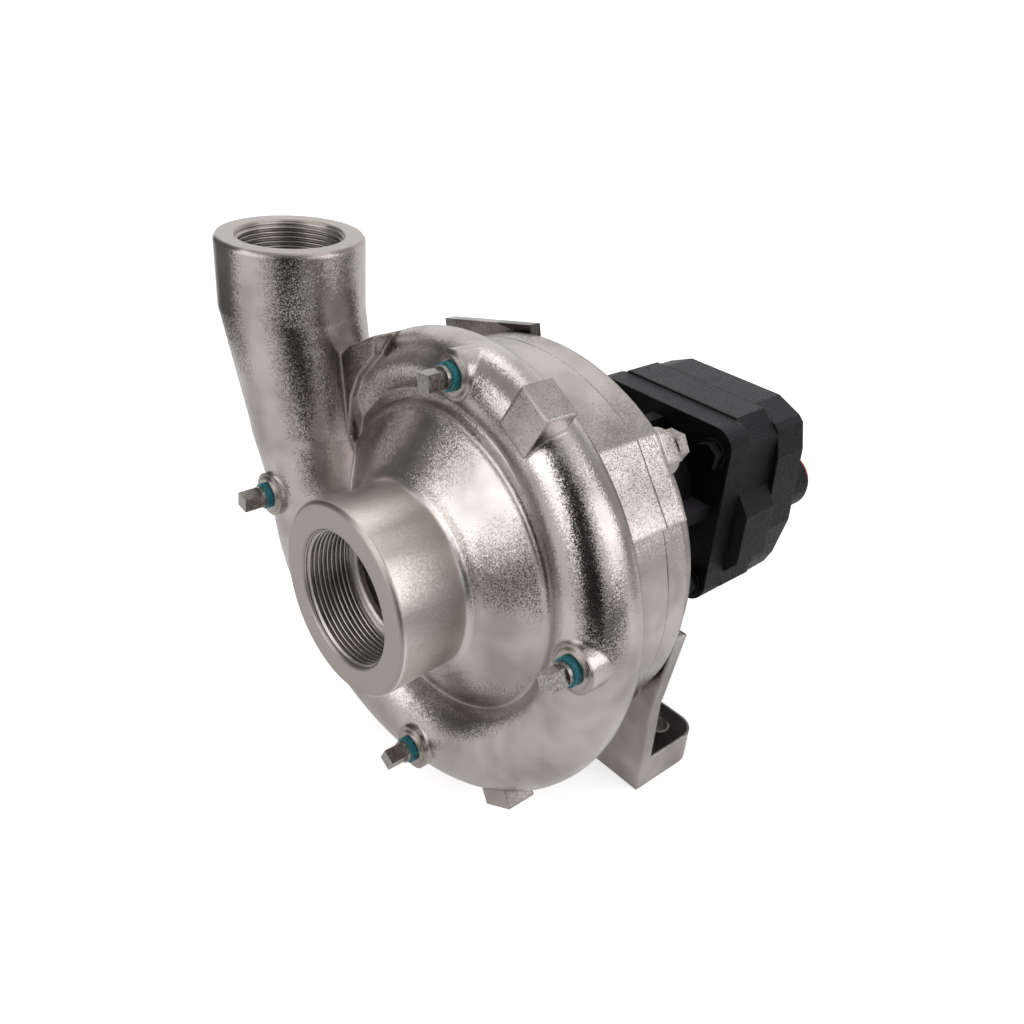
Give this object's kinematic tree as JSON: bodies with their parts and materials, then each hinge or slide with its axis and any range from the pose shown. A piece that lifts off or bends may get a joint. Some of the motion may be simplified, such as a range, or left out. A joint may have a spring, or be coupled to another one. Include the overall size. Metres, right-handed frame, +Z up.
{
  "type": "centrifugal pump with hydraulic motor",
  "caption": "Close-coupled centrifugal pump: cast volute with threaded suction and discharge nozzles on a footed flange, driven by a hydraulic gear motor.",
  "frame": {"origin": "on the floor, midway between the two foot bolt holes, under the shaft", "axes": "+Z up, -Y out of the suction nozzle along the shaft, +Y towards the motor, -X towards the discharge nozzle, which points up"},
  "size_m": [0.2477, 0.2772, 0.236],
  "materials": {
    "stainless_cast": "bead-blasted cast stainless steel, fine grain",
    "stainless_flange": "bead-blasted cast stainless steel, machined joint faces",
    "stainless_impeller": "cast stainless steel, ground shrouds",
    "steel_shaft": "ground stainless steel shaft",
    "stainless_fasteners": "plain stainless screws and washers",
    "plug_steel": "zinc-grey square-headed plugs",
    "thread_sealant": "teal thread sealant",
    "seal_rubber": "black nitrile rubber",
    "seal_ceramic": "white ceramic",
    "seal_carbon": "dark carbon graphite",
    "spring_steel": "spring steel wire and pressed retainer",
    "motor_iron": "black painted cast iron",
    "black_bolts": "black oxide hexagon bolts",
    "bearing_steel": "hardened ground bearing steel",
    "bearing_brass": "brass ball cage",
    "bushing_bronze": "bronze plain bushings and wear plates",
    "gear_steel": "hardened gear steel",
    "gasket_paper": "grey-green gasket paper",
    "cap_plastic": "red push-in plastic caps"
  },
  "bodies": {
    "stator": {"volute_casing": "stainless_cast", "mounting_flange": "stainless_flange", "casing_o_ring": "seal_rubber", "casing_screws": "stainless_fasteners", "casing_washers": "stainless_fasteners", "drain_plugs": "plug_steel", "plug_sealant_rings": "thread_sealant", "seal_seat": "seal_ceramic", "seal_seat_cup": "seal_rubber", "motor_bracket": "motor_iron", "bracket_screws": "black_bolts", "bracket_washers": "black_bolts", "bearing_outer_race": "bearing_steel", "bearing_snap_ring": "spring_steel", "oil_seal": "seal_rubber", "shaft_bushings": "bushing_bronze", "idler_bushings": "bushing_bronze", "front_wear_plate": "bushing_bronze", "rear_wear_plate": "bushing_bronze", "gear_housing": "motor_iron", "housing_gaskets": "gasket_paper", "end_cover": "motor_iron", "motor_bolts": "black_bolts", "motor_bolt_washers": "black_bolts", "dowel_pins": "gear_steel", "port_caps": "cap_plastic"},
    "rotor": {"pump_shaft": "steel_shaft", "impeller": "stainless_impeller", "impeller_nut": "stainless_fasteners", "impeller_washer": "stainless_fasteners", "impeller_key": "steel_shaft", "seal_carbon_ring": "seal_carbon", "seal_bellows": "seal_rubber", "seal_spring": "spring_steel", "seal_retainer": "spring_steel", "slinger": "seal_rubber", "bearing_inner_race": "bearing_steel", "drive_gear": "gear_steel", "drive_gear_key": "steel_shaft"},
    "idler": {"idler_gear": "gear_steel", "idler_shaft": "steel_shaft"},
    "ball_cage": {"bearing_cage": "bearing_brass", "bearing_balls": "bearing_steel"}
  },
  "joints": [
    {"name": "shaft_spin", "type": "hinge", "parent": "stator", "child": "rotor", "pos_m": [0, -0.035, 0.116], "axis": [0, 1, 0], "continuous": true},
    {"name": "idler_spin", "type": "hinge", "parent": "stator", "child": "idler", "pos_m": [0, -0.035, 0.089], "axis": [0, 1, 0], "continuous": true},
    {"name": "cage_spin", "type": "hinge", "parent": "stator", "child": "ball_cage", "pos_m": [0, -0.035, 0.116], "axis": [0, 1, 0], "continuous": true}
  ],
  "couplings": [
    {"joint": "idler_spin", "follows": "shaft_spin", "ratio": -1},
    {"joint": "cage_spin", "follows": "shaft_spin", "ratio": 0.4}
  ]
}
